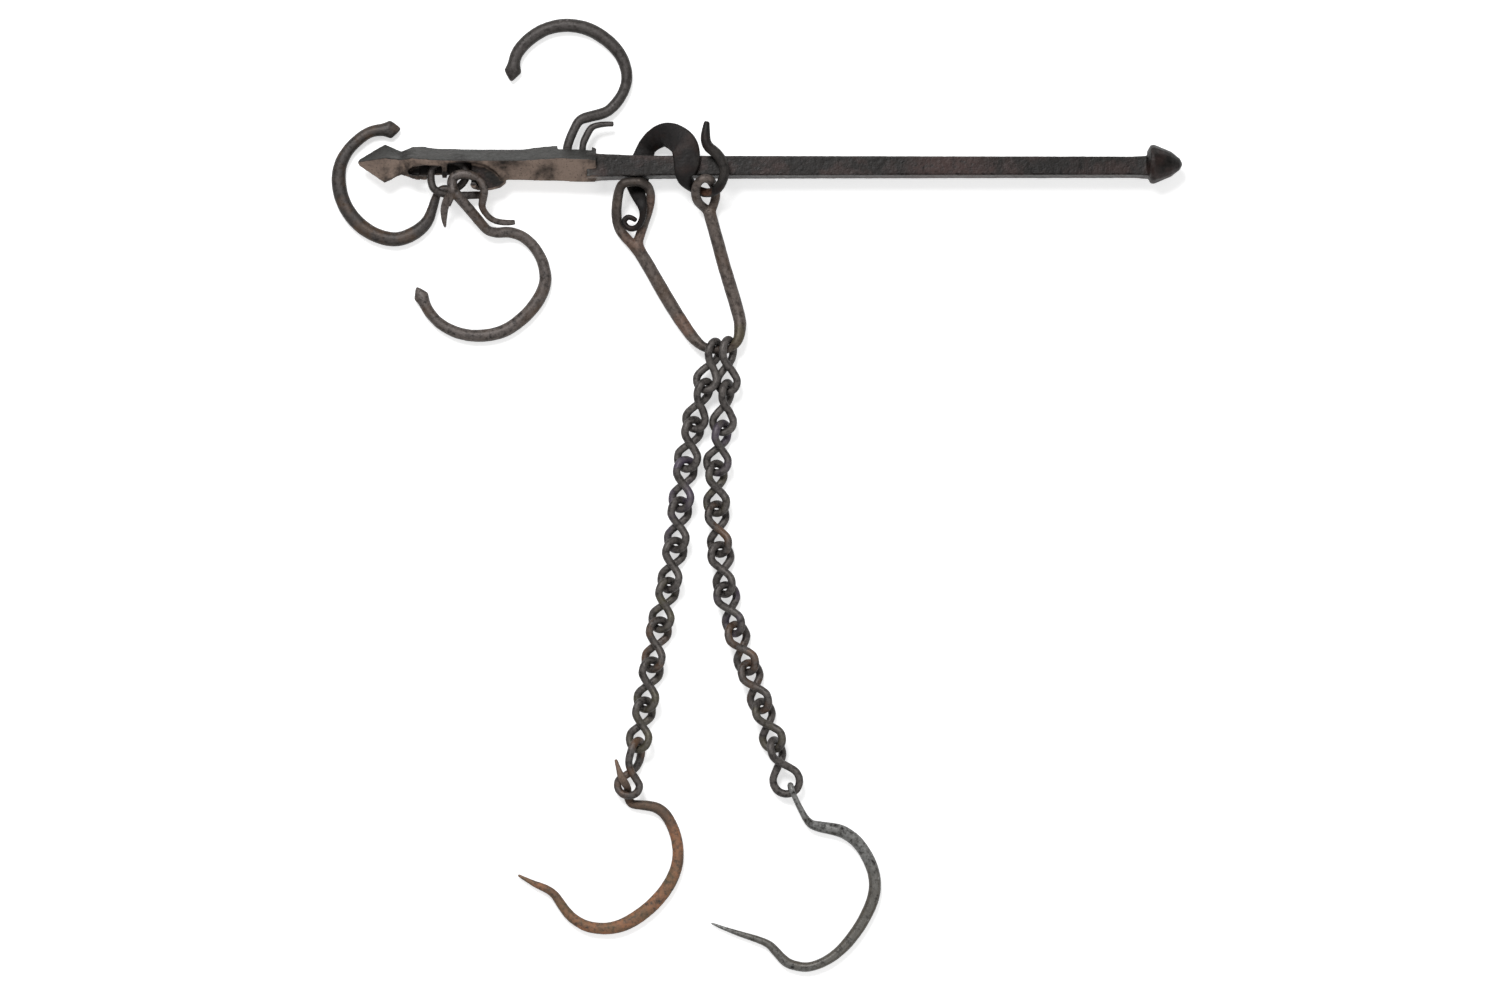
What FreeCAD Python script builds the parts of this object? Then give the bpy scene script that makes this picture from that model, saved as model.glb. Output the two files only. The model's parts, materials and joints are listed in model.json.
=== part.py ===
# Roman steelyard in wrought iron, lying flat as it is kept: beam, three suspension
# hooks, sliding collar, shackle and two chains of figure-eight links with load hooks.
# Units are mm. The table is z = 0, +Z points up, the beam runs along X.
import FreeCAD
import Part
import math
import os

V = FreeCAD.Vector

# Sizes of the beam
BEAM_Z = 11.0          # height of the beam's axis over the table
THICK_SIDE = 13.1      # square bar of the short, thick arm
THICK_ROLL = 76.3      # degrees from +Y to the first corner of its section
THIN_SIDE = 11.1       # square bar of the long arm at its root
THIN_END_SIDE = 10.2   # and at the knob
THIN_ROLL = 36.0
THIN_TAPER = 26.0      # the long arm narrows evenly from this far past its root
THIN_Y = 180.1
ARM_JOINT_X = -88.0    # where the thick arm ends and the thin one begins
KNOB_X = 214.3         # back face of the end knob
KNOB_RADIUS = 10.7
KNOB_OFFSET = 1.7      # the knob sits a little to one side of the arm's axis
KNOB_FLATS = 16

# Sizes of the forged bars
CLEAR = 0.35           # air left round a bar inside its slot or eye
HOOK_EYE_A = 1.9       # half thickness of each hook's eye bar
HOOK_EYE_B = 2.5
HOOK_EYE_C = 2.0
FINIAL_LENGTH = 5.5
FINIAL_NECK = 0.6      # its widest ring sits this share of its length from the bar
TIP = 0.5              # half width of a finial's blunt tip
COLLAR_THICK = 2.8

# Sizes of the chain
WIRE = 4.1             # thickness of a link's wire
WIRE_FLATS = 0.97      # share of it that is left between two opposite flats
EYE_RADIUS = 5.64      # radius of an eye's centre line
EYE_OFFSET = 8.06      # from a link's middle to the middle of an eye
STRAND_GAP = 0.3       # air between the two crossing strands
TWIST = 38.0           # each eye is turned this far out of the link's mean plane
EYE_END = 200.0        # degrees round the eye where its strand leaves it
CROSSING = (0.68, -0.73)   # direction of a strand where it crosses its twin
FIRST_GAP = 2.85       # from the shackle's axis to the wire of a first link
FLOOR_GAP = 0.15       # air left under the lowest eye of a joint
LEFT_SLACK = 0.95      # air between linked wires along each chain
RIGHT_SLACK = 0.95
FIRST_RIGHT_STRETCH = 1.1
# The last links differ: length of the upper half, of the lower half, width of the lower eye
LAST_LEFT = (1.36, 0.9, 1.02)
LAST_RIGHT = (1.0, 1.24, 1.22)

# Fulcrums: the point each suspension hook turns about
FULCRUM_A = V(-171.1, 178.5, 11)
FULCRUM_B = V(-155.1, 170.2, 16.5)
FULCRUM_C = V(-99.6, 187.4, 9.3)
STUD_RADIUS = 1.7      # upright stud that holds hook B's eye
STUD_LENGTH = 9.4
LUG_THICK = 4.4
PIN_RADIUS = 1.75      # bar across fulcrum C
REACH_UP = 20.0        # pits are cut to this far above their floor, clear of the bar

# Sizes the rows and knots further down were written for
WRITTEN_SIDE = 13.1
WRITTEN_STRAP = 2.8
CURVE_STEPS = 12       # points from one knot to the next
FLATS = 8              # flats round a rod or wire
TINY = 1e-12


def unit(v):
    return v * (1.0 / v.Length)


def curve(knots):
    """Smooth line through the knots (Catmull-Rom)."""
    rows = []
    last = len(knots) - 1
    for i in range(last):
        k0 = knots[max(i - 1, 0)]
        k1 = knots[i]
        k2 = knots[i + 1]
        k3 = knots[min(i + 2, last)]
        for step in range(CURVE_STEPS):
            t = step / CURVE_STEPS
            row = []
            for a, b, c, d in zip(k0, k1, k2, k3):
                cubic = (2 * b + (c - a) * t + (2 * a - 5 * b + 4 * c - d) * t ** 2
                         + (3 * b - a - 3 * c + d) * t ** 3)
                row.append(0.5 * cubic)
            rows.append(row)
    rows.append(list(knots[last]))
    return rows


def thin_out(rows, bend, reach=14.0):
    """Keep a station wherever the bar has turned by the bend angle or run its reach."""
    kept = [rows[0]]
    turned = 0.0
    run = 0.0
    for before, here, after in zip(rows, rows[1:], rows[2:]):
        a = V(*here[:3]) - V(*before[:3])
        b = V(*after[:3]) - V(*here[:3])
        turned += math.degrees(a.getAngle(b))
        run += a.Length
        if turned >= bend or run >= reach:
            kept.append(here)
            turned = 0.0
            run = 0.0
    kept.append(rows[-1])
    return kept


def carried(up, step, before, after):
    """The up direction one step further along a bar, carried without twisting."""
    c = 2.0 / step.dot(step)
    up = up - step * (c * step.dot(up))
    turn = after - before + step * (c * step.dot(before))
    size = turn.dot(turn)
    if size > TINY:
        up = up - turn * (2.0 / size * turn.dot(up))
    return up


def frames(points, first, closed=False, level=False):
    """A side and an up direction at every point, level or carried without twisting."""
    n = len(points)
    tangents = []
    for i in range(n):
        before = points[i - 1] if closed or i else points[i]
        after = points[(i + 1) % n] if closed or i < n - 1 else points[i]
        tangents.append(unit(after - before))
    if level:
        return tangents, [unit(first - t * first.dot(t)) for t in tangents]
    ups = [unit(first - tangents[0] * first.dot(tangents[0]))]
    for i in range(1, n):
        up = carried(ups[-1], points[i] - points[i - 1], tangents[i - 1], tangents[i])
        up = up - tangents[i] * up.dot(tangents[i])
        ups.append(unit(up))
    return tangents, ups


def octagon(centre, side, up, half_width, half_thick, turn=0.0):
    """Hammered section with eight flats, its flats at the given half sizes."""
    k = 1.0 / math.cos(math.pi / FLATS)
    ring = []
    for i in range(FLATS):
        a = (2 * i + 1) * math.pi / FLATS + turn
        ring.append(centre + side * (half_width * k * math.cos(a))
                    + up * (half_thick * k * math.sin(a)))
    return ring


def skin(rings, closed=False, shift=0):
    """Solid with flat faces laid over the rings, as a smith leaves them."""
    faces = []
    count = len(rings[0])
    for a, b in zip(rings, rings[1:]):
        for i in range(count):
            j = (i + 1) % count
            faces += flat(a[i], a[j], b[j], b[i])
    if closed:
        a = rings[-1]
        b = rings[0]
        for i in range(count):
            j = (i + 1) % count
            faces += flat(a[i], a[j], b[(j + shift) % count], b[(i + shift) % count])
    else:
        faces.append(Part.Face(Part.makePolygon(rings[0] + [rings[0][0]])))
        faces.append(Part.Face(Part.makePolygon(rings[-1] + [rings[-1][0]])))
    solid = Part.Solid(Part.makeShell(faces))
    if solid.Volume < 0:
        solid.reverse()
    return solid


def flat(a, b, c, d):
    """One face when the four corners lie in a plane, two when they don't."""
    normal = (c - a).cross(d - b)
    if normal.Length > 1e-9 and abs(unit(normal).dot(b - a)) < 1e-9:
        return [Part.Face(Part.makePolygon([a, b, c, d, a]))]
    if (a - c).Length <= (b - d).Length:
        corners = ((a, b, c), (a, c, d))
    else:
        corners = ((a, b, d), (b, c, d))
    return [Part.Face(Part.makePolygon([p, q, r, p])) for p, q, r in corners]


def bar(knots, bend=17.0, finial=0.0, level=True):
    """Forged bar along its knots: x, y, z, half width, half thickness.

    A finial is a faceted knob on the first end, given by its half width."""
    rows = thin_out(curve(knots), bend)
    points = [V(*row[:3]) for row in rows]
    tangents, ups = frames(points, V(0, 0, 1), level=level)
    rings = []
    if finial:
        out = tangents[0] * -1
        side = tangents[0].cross(ups[0])
        neck = FINIAL_LENGTH * FINIAL_NECK
        rings.append(octagon(points[0] + out * (neck + FINIAL_LENGTH), side, ups[0], TIP, TIP))
        rings.append(octagon(points[0] + out * neck, side, ups[0], finial, rows[0][4] * 1.05))
    for point, t, up, row in zip(points, tangents, ups, rows):
        rings.append(octagon(point, t.cross(up), up, row[3], row[4]))
    return skin(rings)


def moved(knots, pivot):
    """Knots written from a pivot, set down at that pivot (z is from the table)."""
    return [(k[0] + pivot.x, k[1] + pivot.y) + tuple(k[2:]) for k in knots]


def square_ring(x, y, z, side, roll):
    half = side / math.sqrt(2)
    ring = []
    for i in range(4):
        a = math.radians(roll + 90 * i)
        ring.append(V(x, y + half * math.cos(a), z + half * math.sin(a)))
    return ring


def block(x0, x1, y0, y1, z0, z1):
    return Part.makeBox(x1 - x0, y1 - y0, z1 - z0, V(x0, y0, z0))


def prism(corners, pivot, z0, z1):
    """Upright block over corners written from a pivot."""
    edge = [V(x + pivot.x, y + pivot.y, z0) for x, y in corners]
    return Part.Face(Part.makePolygon(edge + [edge[0]])).extrude(V(0, 0, z1 - z0))


def beam():
    # Short arm with its diamond finial; each row is x, y of the axis, side of the square
    k = THICK_SIDE / WRITTEN_SIDE
    thick = [(-218.8, 182.8, 0.9), (-217.9, 182.7, 2.9), (-203.9, 182.2, 15.9),
             (-195.0, 182.4, 9.6), (-189.2, 182.6, 12.9), (-182.5, 182.0, 14.3),
             (-179.0, 181.8, 13.3), (-173.0, 181.7, 12.9), (-152.1, 181.5, 12.6),
             (-129.0, 181.5, 12.6), (-109.2, 182.4, 14.6), (-98.7, 182.0, 14.9),
             (-90.5, 181.7, 14.6), (-88.0, 181.4, 13.5)]
    rings = [square_ring(x, y, BEAM_Z, side * k, THICK_ROLL) for x, y, side in thick]
    body = skin(rings)
    # Long arm: flares a little at its root and again under the knob
    rise = (THIN_END_SIDE - THIN_SIDE) / (KNOB_X - ARM_JOINT_X - THIN_TAPER)
    long_arm = []
    for x, extra in ((ARM_JOINT_X - 5, 2.6), (ARM_JOINT_X + 5, 1.4), (ARM_JOINT_X + 20, 0.55),
                     (ARM_JOINT_X + 32, 0.0), (KNOB_X - 8, 0.0), (KNOB_X + 1, 1.0)):
        side = THIN_SIDE + rise * (x - ARM_JOINT_X - THIN_TAPER) + extra
        long_arm.append(square_ring(x, THIN_Y, BEAM_Z, side, THIN_ROLL))
    body = body.fuse(skin(long_arm))
    # Knob: a rimmed disc that ends in a blunt cone, all of it in hammered flats
    rings = []
    for x, share in ((0, 0.64), (1.9, 0.97), (3.9, 1.0), (13.2, 0.64), (17.9, 0.29), (19.4, 0.05)):
        ring = []
        for i in range(KNOB_FLATS):
            a = (2 * i + 1) * math.pi / KNOB_FLATS
            r = KNOB_RADIUS * share / math.cos(math.pi / KNOB_FLATS)
            y = THIN_Y + KNOB_OFFSET + r * math.cos(a)
            ring.append(V(KNOB_X + x, y, BEAM_Z + r * math.sin(a)))
        rings.append(ring)
    body = body.fuse(skin(rings))

    # Fulcrum A: a flat slot with a bar across it, opened from above by two pits
    ax, ay, az = FULCRUM_A
    half = HOOK_EYE_A + CLEAR
    slot = block(ax - 14.0, ax + 14.5, ay - 15, ay + 8.3, az - half, az + half)
    shallow = [(-20.2, -0.3), (-17.8, 1.6), (-10.7, 2.6), (-1.3, 2.0), (-1.3, -2.9),
             (-16.2, -2.9), (-19.5, -2.2)]
    deep = [(-9.4, 2.2), (-1.5, 2.0), (-1.5, -13.8), (-9.4, -13.8)]
    second = [(1.5, 3.0), (6.9, 3.8), (13.5, 3.8), (13.5, -13.8), (1.5, -13.8)]
    slot = slot.fuse(prism(shallow, FULCRUM_A, az - 1.4, az + REACH_UP))
    slot = slot.fuse(prism(deep, FULCRUM_A, az, az + REACH_UP))
    slot = slot.fuse(prism(second, FULCRUM_A, az, az + REACH_UP))
    cross_bar = block(ax - 1.6, ax + 1.4, ay - 2.5, ay + 2.1, az - half - 1, az + 4.4)
    slot = slot.cut(cross_bar)
    # Fulcrum B: a recess over the lug, which carries an upright stud
    bx, by, bz = FULCRUM_B
    top = bz - HOOK_EYE_B - CLEAR - 0.6
    recess = [(-14.5, 11.8), (-9.1, 12.3), (-0.3, 12.3), (5.8, 11.0), (11.3, 8.0),
             (14.6, 4.4), (17.3, -5.5), (-14.5, -5.5)]
    slot = slot.fuse(prism(recess, FULCRUM_B, top, top + REACH_UP))
    body = body.cut(slot)
    edge = [(-1.5, 5.5), (17.9, 5.5), (17.6, 1.1), (14.6, -1.3), (9.1, -2.7),
             (2.5, -2.7), (-0.6, -1.8), (-1.5, -0.5)]
    lug = prism(edge, FULCRUM_B, top - LUG_THICK, top)
    stud = Part.makeCylinder(STUD_RADIUS, STUD_LENGTH, V(bx, by, top - 3))
    body = body.fuse(lug).fuse(stud)
    # Fulcrum C: a slot in the upper corner with a round bar for the eye
    cx, cy, cz = FULCRUM_C
    half = HOOK_EYE_C + CLEAR
    gate = block(cx - 9.6, cx + 9.2, cy - 7.8, cy + 12, cz - half, cz + half)
    pin = Part.makeCylinder(PIN_RADIUS, 2 * half + 2, V(cx, cy, cz - half - 1))
    body = body.cut(gate.cut(pin))
    return body


def hook_a():
    knots = [(-33.4, 22.5, 3.6, 3.1, 3.1), (-39.8, 22.0, 3.6, 3.0, 3.1),
             (-46.6, 18.5, 3.6, 3.0, 3.2), (-53.7, 11.5, 3.6, 3.1, 3.3),
             (-58.0, 3.0, 3.6, 3.5, 3.4), (-59.0, -5.9, 3.6, 3.9, 3.5),
             (-57.5, -14.3, 3.6, 3.9, 3.5), (-54.1, -22.0, 3.6, 3.9, 3.5),
             (-48.1, -29.4, 3.6, 3.9, 3.5), (-39.4, -35.4, 3.6, 3.9, 3.5),
             (-29.9, -38.0, 3.6, 3.9, 3.5), (-21.7, -36.9, 3.6, 3.9, 3.5),
             (-14.5, -33.0, 3.6, 3.7, 3.4), (-9.3, -27.5, 3.8, 3.1, 3.0),
             (-6.6, -20.9, 4.4, 2.5, 2.4), (-5.2, -14.9, 5.3, 2.1, 2.0),
             (-3.5, -11.3, 5.8, 1.9, 1.9), (-0.2, -9.9, 5.8, 1.9, 1.9),
             (3.6, -10.8, 6.3, 1.9, 1.9), (6.9, -9.6, 7.6, 1.9, 1.9),
             (9.9, -7.2, 9.5, 1.9, 1.9), (11.8, -3.9, 10.8, 1.9, 1.9),
             (11.6, 0.0, 11.0, 1.9, 1.9), (9.1, 3.3, 11.0, 1.9, 1.9),
             (5.3, 4.9, 11.0, 1.9, 1.9), (0.9, 5.1, 11.0, 1.9, 1.9),
             (-3.5, 4.0, 11.0, 1.9, 1.9), (-6.7, 1.4, 11.0, 1.9, 1.9),
             (-7.8, -2.2, 11.0, 1.9, 1.9), (-7.5, -6.6, 11.1, 1.9, 1.9),
             (-6.0, -10.2, 11.3, 1.9, 1.9), (-2.4, -12.5, 10.7, 1.9, 1.9),
             (2.0, -13.8, 9.5, 1.9, 1.8), (6.9, -14.2, 8.2, 1.9, 1.7),
             (12.4, -13.9, 7.0, 2.0, 1.6), (19.8, -13.4, 6.0, 1.9, 1.4)]
    return bar(moved(knots, FULCRUM_A), finial=5.2)


def hook_b():
    knots = [(-27.7, -63.8, 3.3, 2.8, 2.9), (-26.1, -67.6, 3.3, 2.8, 2.9),
             (-23.2, -72.0, 3.3, 2.8, 2.9), (-17.1, -77.5, 3.3, 2.9, 3.0),
             (-7.6, -81.8, 3.4, 3.1, 3.1), (2.7, -83.0, 3.4, 3.2, 3.2),
             (14.6, -81.1, 3.4, 3.4, 3.3), (25.0, -74.8, 3.4, 3.5, 3.3),
             (33.5, -66.2, 3.4, 3.5, 3.3), (38.5, -56.6, 3.4, 3.4, 3.3),
             (39.4, -48.4, 3.4, 3.1, 3.2), (37.0, -39.6, 3.4, 2.9, 3.0),
             (31.6, -31.6, 3.4, 2.8, 2.9), (24.7, -26.7, 3.6, 2.8, 2.8),
             (18.1, -25.3, 4.6, 2.8, 2.7), (12.9, -26.0, 5.6, 2.6, 2.6),
             (7.4, -24.7, 7.0, 2.5, 2.5), (3.0, -20.3, 9.0, 2.6, 2.5),
             (-0.8, -14.8, 11.6, 2.7, 2.5), (-5.0, -9.6, 14.2, 2.6, 2.5),
             (-8.8, -6.0, 15.9, 2.6, 2.5), (-11.3, -2.4, 16.5, 2.6, 2.5),
             (-11.9, 1.4, 16.5, 2.6, 2.5), (-10.7, 4.4, 16.5, 2.5, 2.5),
             (-7.7, 5.9, 16.5, 2.5, 2.5), (-3.9, 6.0, 16.5, 2.4, 2.5),
             (0.5, 4.8, 16.5, 2.2, 2.5), (4.0, 2.0, 16.5, 2.0, 2.4),
             (5.8, -1.9, 16.4, 2.1, 2.4), (5.6, -6.3, 15.8, 2.0, 2.2),
             (4.5, -10.7, 14.5, 1.8, 2.0), (5.5, -14.3, 12.7, 1.6, 1.7),
             (8.4, -17.7, 10.8, 1.5, 1.5), (12.4, -19.9, 9.2, 1.4, 1.4),
             (17.3, -20.5, 8.0, 1.4, 1.3), (22.3, -20.1, 7.2, 1.2, 1.1)]
    rod = bar(moved(knots, FULCRUM_B), finial=4.4)
    # Two thin tongues left by the smith where the eye is closed on the shank
    blade = [(-11.3, -3.3, 15.5, 1.7, 1.4), (-14.3, -6.8, 14.2, 1.9, 1.1),
             (-16.4, -12.6, 12.5, 2.1, 1.0), (-16.6, -18.1, 10.9, 1.5, 0.9),
             (-15.8, -23.1, 9.6, 0.3, 0.4)]
    strip = [(-10.7, -2.2, 18.0, 1.8, 1.4), (-11.6, -6.0, 17.4, 1.7, 1.3),
             (-13.2, -11.5, 15.6, 0.4, 0.5)]
    rod = rod.fuse(bar(moved(blade, FULCRUM_B)))
    return rod.fuse(bar(moved(strip, FULCRUM_B)))


def hook_c():
    knots = [(-33.8, 49.1, 3.5, 3.1, 3.1), (-33.1, 53.5, 3.5, 3.2, 3.2),
             (-30.5, 58.5, 3.5, 3.4, 3.3), (-25.0, 64.2, 3.5, 3.5, 3.4),
             (-15.9, 69.5, 3.5, 3.5, 3.4), (-5.2, 71.5, 3.5, 3.5, 3.4),
             (6.1, 69.9, 3.5, 3.6, 3.4), (16.5, 64.2, 3.5, 3.6, 3.4),
             (24.4, 56.0, 3.5, 3.3, 3.3), (28.3, 46.6, 3.5, 3.0, 3.1),
             (28.0, 37.8, 3.5, 2.9, 3.0), (24.0, 29.6, 3.6, 2.8, 2.9),
             (17.6, 23.4, 4.6, 2.9, 2.7), (10.5, 21.0, 6.0, 2.8, 2.6),
             (5.0, 20.0, 7.3, 2.7, 2.5), (1.3, 17.4, 8.5, 2.4, 2.3),
             (-1.2, 12.0, 9.2, 2.1, 2.1), (-3.7, 6.5, 9.3, 2.3, 2.0),
             (-4.5, 2.1, 9.3, 2.3, 2.0), (-4.1, -1.5, 9.3, 2.3, 2.0),
             (-2.4, -4.0, 9.3, 2.2, 2.0), (-0.2, -4.7, 9.3, 2.1, 2.0),
             (2.1, -3.9, 9.3, 1.9, 2.0), (3.6, -1.5, 9.3, 1.7, 2.0),
             (4.0, 2.1, 9.3, 1.5, 2.0), (4.3, 5.9, 9.3, 1.7, 1.9),
             (6.4, 10.1, 9.3, 1.8, 1.8), (8.1, 13.6, 9.2, 1.7, 1.7),
             (10.8, 15.7, 8.9, 1.5, 1.6), (15.2, 16.5, 8.4, 1.5, 1.4),
             (20.9, 16.6, 7.6, 1.2, 1.1)]
    return bar(moved(knots, FULCRUM_C), finial=4.9)


def collar():
    """Strap bent round the arm; both its ends are drawn out and hooked into the eyes."""
    knots = [(-66.1, 151.0, 9.0, 1.0, 1.0), (-68.2, 152.4, 8.7, 1.2, 1.1),
             (-70.8, 152.7, 8.4, 1.3, 1.2), (-72.7, 150.8, 8.3, 1.3, 1.3),
             (-71.8, 148.1, 8.5, 1.3, 1.3), (-69.0, 146.4, 9.0, 1.4, 1.3),
             (-65.7, 147.2, 9.8, 1.4, 1.3), (-63.3, 150.0, 10.8, 1.5, 1.4),
             (-62.1, 153.7, 12.0, 1.7, 1.5), (-62.3, 157.3, 12.9, 2.1, 1.5),
             (-63.3, 160.9, 12.5, 2.9, 1.4), (-64.8, 165.3, 9.2, 4.0, 1.4),
             (-66.1, 169.7, 4.9, 5.2, 1.4), (-65.8, 173.5, 2.7, 6.4, 1.4),
             (-65.2, 177.4, 2.4, 6.5, 1.4), (-63.5, 181.8, 2.4, 5.8, 1.4),
             (-62.4, 185.9, 2.4, 5.5, 1.4), (-60.1, 191.6, 2.9, 5.0, 1.4),
             (-55.8, 196.0, 6.5, 5.7, 1.4), (-50.2, 198.1, 11.0, 6.6, 1.4),
             (-44.2, 196.4, 15.5, 7.2, 1.4), (-39.7, 192.0, 18.8, 7.4, 1.4),
             (-38.1, 185.9, 19.5, 7.3, 1.4), (-38.3, 181.2, 19.6, 6.6, 1.4),
             (-39.5, 177.1, 19.6, 5.3, 1.5), (-39.2, 173.5, 18.6, 4.1, 1.7),
             (-36.6, 170.4, 14.8, 3.1, 2.0), (-33.3, 168.0, 10.5, 2.5, 2.0),
             (-29.4, 166.4, 11.2, 2.4, 2.1), (-25.3, 165.9, 14.7, 2.2, 2.1),
             (-21.3, 167.9, 18.8, 2.4, 2.2), (-18.5, 172.7, 20.8, 2.5, 2.3),
             (-17.4, 178.2, 20.9, 2.6, 2.4), (-19.2, 184.0, 20.9, 2.8, 2.5),
             (-22.6, 188.2, 20.9, 2.8, 2.5), (-26.1, 190.7, 20.8, 2.7, 2.4),
             (-27.9, 194.2, 20.6, 2.6, 2.4), (-28.2, 198.6, 20.3, 2.6, 2.3),
             (-27.6, 202.7, 20.1, 2.3, 2.1), (-27.2, 204.7, 20.0, 1.2, 1.1)]
    thick = COLLAR_THICK / WRITTEN_STRAP
    return bar([k[:4] + (k[4] * thick,) for k in knots])


def v_shackle():
    """Bent rod with a pear eye on the left leg and a small oval eye on the right."""
    rod = [(-67.9, 138.6, 4.2, 2.4, 2.4), (-65.3, 136.1, 4.0, 3.1, 3.0),
             (-61.3, 129.5, 3.7, 3.3, 3.2), (-56.9, 121.8, 3.7, 3.5, 3.3),
             (-47.2, 104.8, 3.8, 3.5, 3.3), (-38.0, 90.5, 5.0, 3.4, 3.2),
             (-33.6, 85.0, 6.3, 3.0, 2.9), (-29.7, 81.8, 7.3, 2.5, 2.4),
             (-25.9, 80.4, 7.8, 2.2, 2.1), (-21.7, 79.9, 8.3, 2.1, 2.0),
             (-17.9, 79.9, 7.6, 2.1, 1.9), (-14.3, 81.0, 8.3, 2.1, 2.0),
             (-11.3, 83.5, 9.0, 2.4, 2.3), (-9.5, 87.4, 8.5, 2.8, 2.6),
             (-8.9, 92.7, 6.8, 3.2, 3.0), (-9.7, 99.8, 4.7, 3.4, 3.2),
             (-16.0, 119.6, 3.7, 3.4, 3.3), (-21.7, 140.5, 4.2, 3.3, 3.2),
             (-24.6, 150.4, 5.0, 3.3, 3.1), (-26.0, 156.5, 5.6, 3.1, 2.7)]
    pear_left = [(-66.0, 135.9, 4.1, 2.3, 2.4), (-71.0, 140.0, 4.3, 2.6, 2.4),
             (-75.5, 145.8, 5.0, 2.7, 2.4), (-77.4, 152.9, 6.8, 2.7, 2.4),
             (-77.1, 159.2, 8.8, 2.6, 2.4), (-75.7, 165.0, 11.2, 2.5, 2.4),
             (-74.9, 169.0, 13.9, 2.4, 2.3), (-72.4, 171.5, 15.4, 2.4, 2.3),
             (-68.5, 172.2, 15.6, 2.4, 2.3), (-63.5, 171.9, 15.2, 2.4, 2.3),
             (-60.1, 169.9, 12.8, 2.3, 2.3)]
    pear_right = [(-62.2, 171.3, 14.4, 2.1, 2.1), (-59.8, 169.7, 12.4, 2.3, 2.3),
             (-58.0, 166.1, 9.8, 2.4, 2.3), (-57.9, 162.2, 8.0, 2.4, 2.3),
             (-58.8, 157.6, 6.4, 2.4, 2.3), (-60.3, 152.6, 5.5, 2.4, 2.3),
             (-62.4, 147.4, 4.9, 2.4, 2.3), (-64.6, 142.5, 4.5, 2.5, 2.3),
             (-65.1, 137.2, 4.1, 2.3, 2.2)]
    oval_left = [(-25.6, 154.8, 5.4, 2.3, 2.2), (-28.6, 157.9, 5.8, 2.3, 2.1),
             (-32.1, 160.7, 10.3, 2.3, 2.1), (-33.6, 164.7, 15.0, 2.3, 2.1),
             (-33.3, 168.9, 18.2, 2.3, 2.1), (-31.4, 172.3, 19.9, 2.2, 2.1),
             (-28.3, 173.9, 20.5, 2.2, 2.1), (-25.2, 172.9, 19.1, 2.2, 2.1)]
    oval_right = [(-27.0, 173.7, 20.2, 2.0, 1.9), (-25.1, 172.8, 18.9, 2.2, 2.1),
             (-24.0, 171.2, 13.8, 2.3, 2.0), (-23.0, 169.1, 10.3, 2.3, 2.0),
             (-22.3, 166.5, 8.8, 2.3, 2.1), (-22.2, 163.4, 7.4, 2.3, 2.1),
             (-23.8, 159.0, 6.0, 2.3, 2.1), (-26.1, 154.3, 5.4, 2.2, 2.1)]
    body = bar(rod)
    for knots in (pear_left, pear_right, oval_left, oval_right):
        body = body.fuse(bar(knots, bend=22.0))
    return body


def link(high_stretch=1.0, low_stretch=1.0, low_width=1.0):
    """Closed figure-eight link along Y; each eye is turned by TWIST, one each way."""
    tilt = math.radians(TWIST)
    high = WIRE / 2 + STRAND_GAP / 2
    across = V(math.cos(tilt), 0, -math.sin(tilt))
    start = math.radians(90)
    end = math.radians(EYE_END)
    quarter = []
    for step in range(5):
        a = start + (end - start) * step / 4.0
        quarter.append(across * (EYE_RADIUS * math.cos(a))
                       + V(0, EYE_OFFSET + EYE_RADIUS * math.sin(a), 0))
    # The strand leaves the eye and crosses the middle over its twin
    p0 = quarter[-1]
    t0 = across * (-math.sin(end)) + V(0, math.cos(end), 0)
    p1 = V(0, 0, high)
    t1 = unit(V(CROSSING[0], CROSSING[1], 0))
    span = (p1 - p0).Length
    for step in (1, 2):
        s = step / 2.0
        quarter.append(p0 * (2 * s ** 3 - 3 * s ** 2 + 1) + t0 * (span * (s ** 3 - 2 * s ** 2 + s))
                       + p1 * (3 * s ** 2 - 2 * s ** 3) + t1 * (span * (s ** 3 - s ** 2)))
    front = quarter + [V(-p.x, -p.y, p.z) for p in reversed(quarter[:-1])]
    back = [V(-p.x, p.y, -p.z) for p in reversed(front)][1:-1]
    line = []
    for p in front + back:
        far = min(1.0, abs(p.y) / EYE_OFFSET)
        stretch = high_stretch if p.y > 0 else low_stretch
        wide = 1 + (low_width - 1) * far if p.y < 0 else 1
        line.append(V(p.x * wide, p.y * (1 + (stretch - 1) * far), p.z * wide))
    tangents, ups = frames(line, V(0, 0, 1), closed=True)
    # Carried once round the loop, the section comes back turned; the rest is spread out
    home = ups[0] - tangents[0] * ups[0].dot(tangents[0])
    back_again = carried(ups[-1], line[0] - line[-1], tangents[-1], tangents[0])
    side = tangents[0].cross(home)
    angle = math.atan2(back_again.dot(side), back_again.dot(home))
    eighth = 2 * math.pi / FLATS
    whole = round(angle / eighth)
    left_over = angle - whole * eighth
    half = WIRE * WIRE_FLATS / 2
    rings = []
    for i, (p, t, up) in enumerate(zip(line, tangents, ups)):
        spread = left_over * i / len(line)
        rings.append(octagon(p, t.cross(up), up, half, half, spread))
    return skin(rings, closed=True, shift=whole)


LINK_HALF = EYE_OFFSET + EYE_RADIUS


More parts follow.
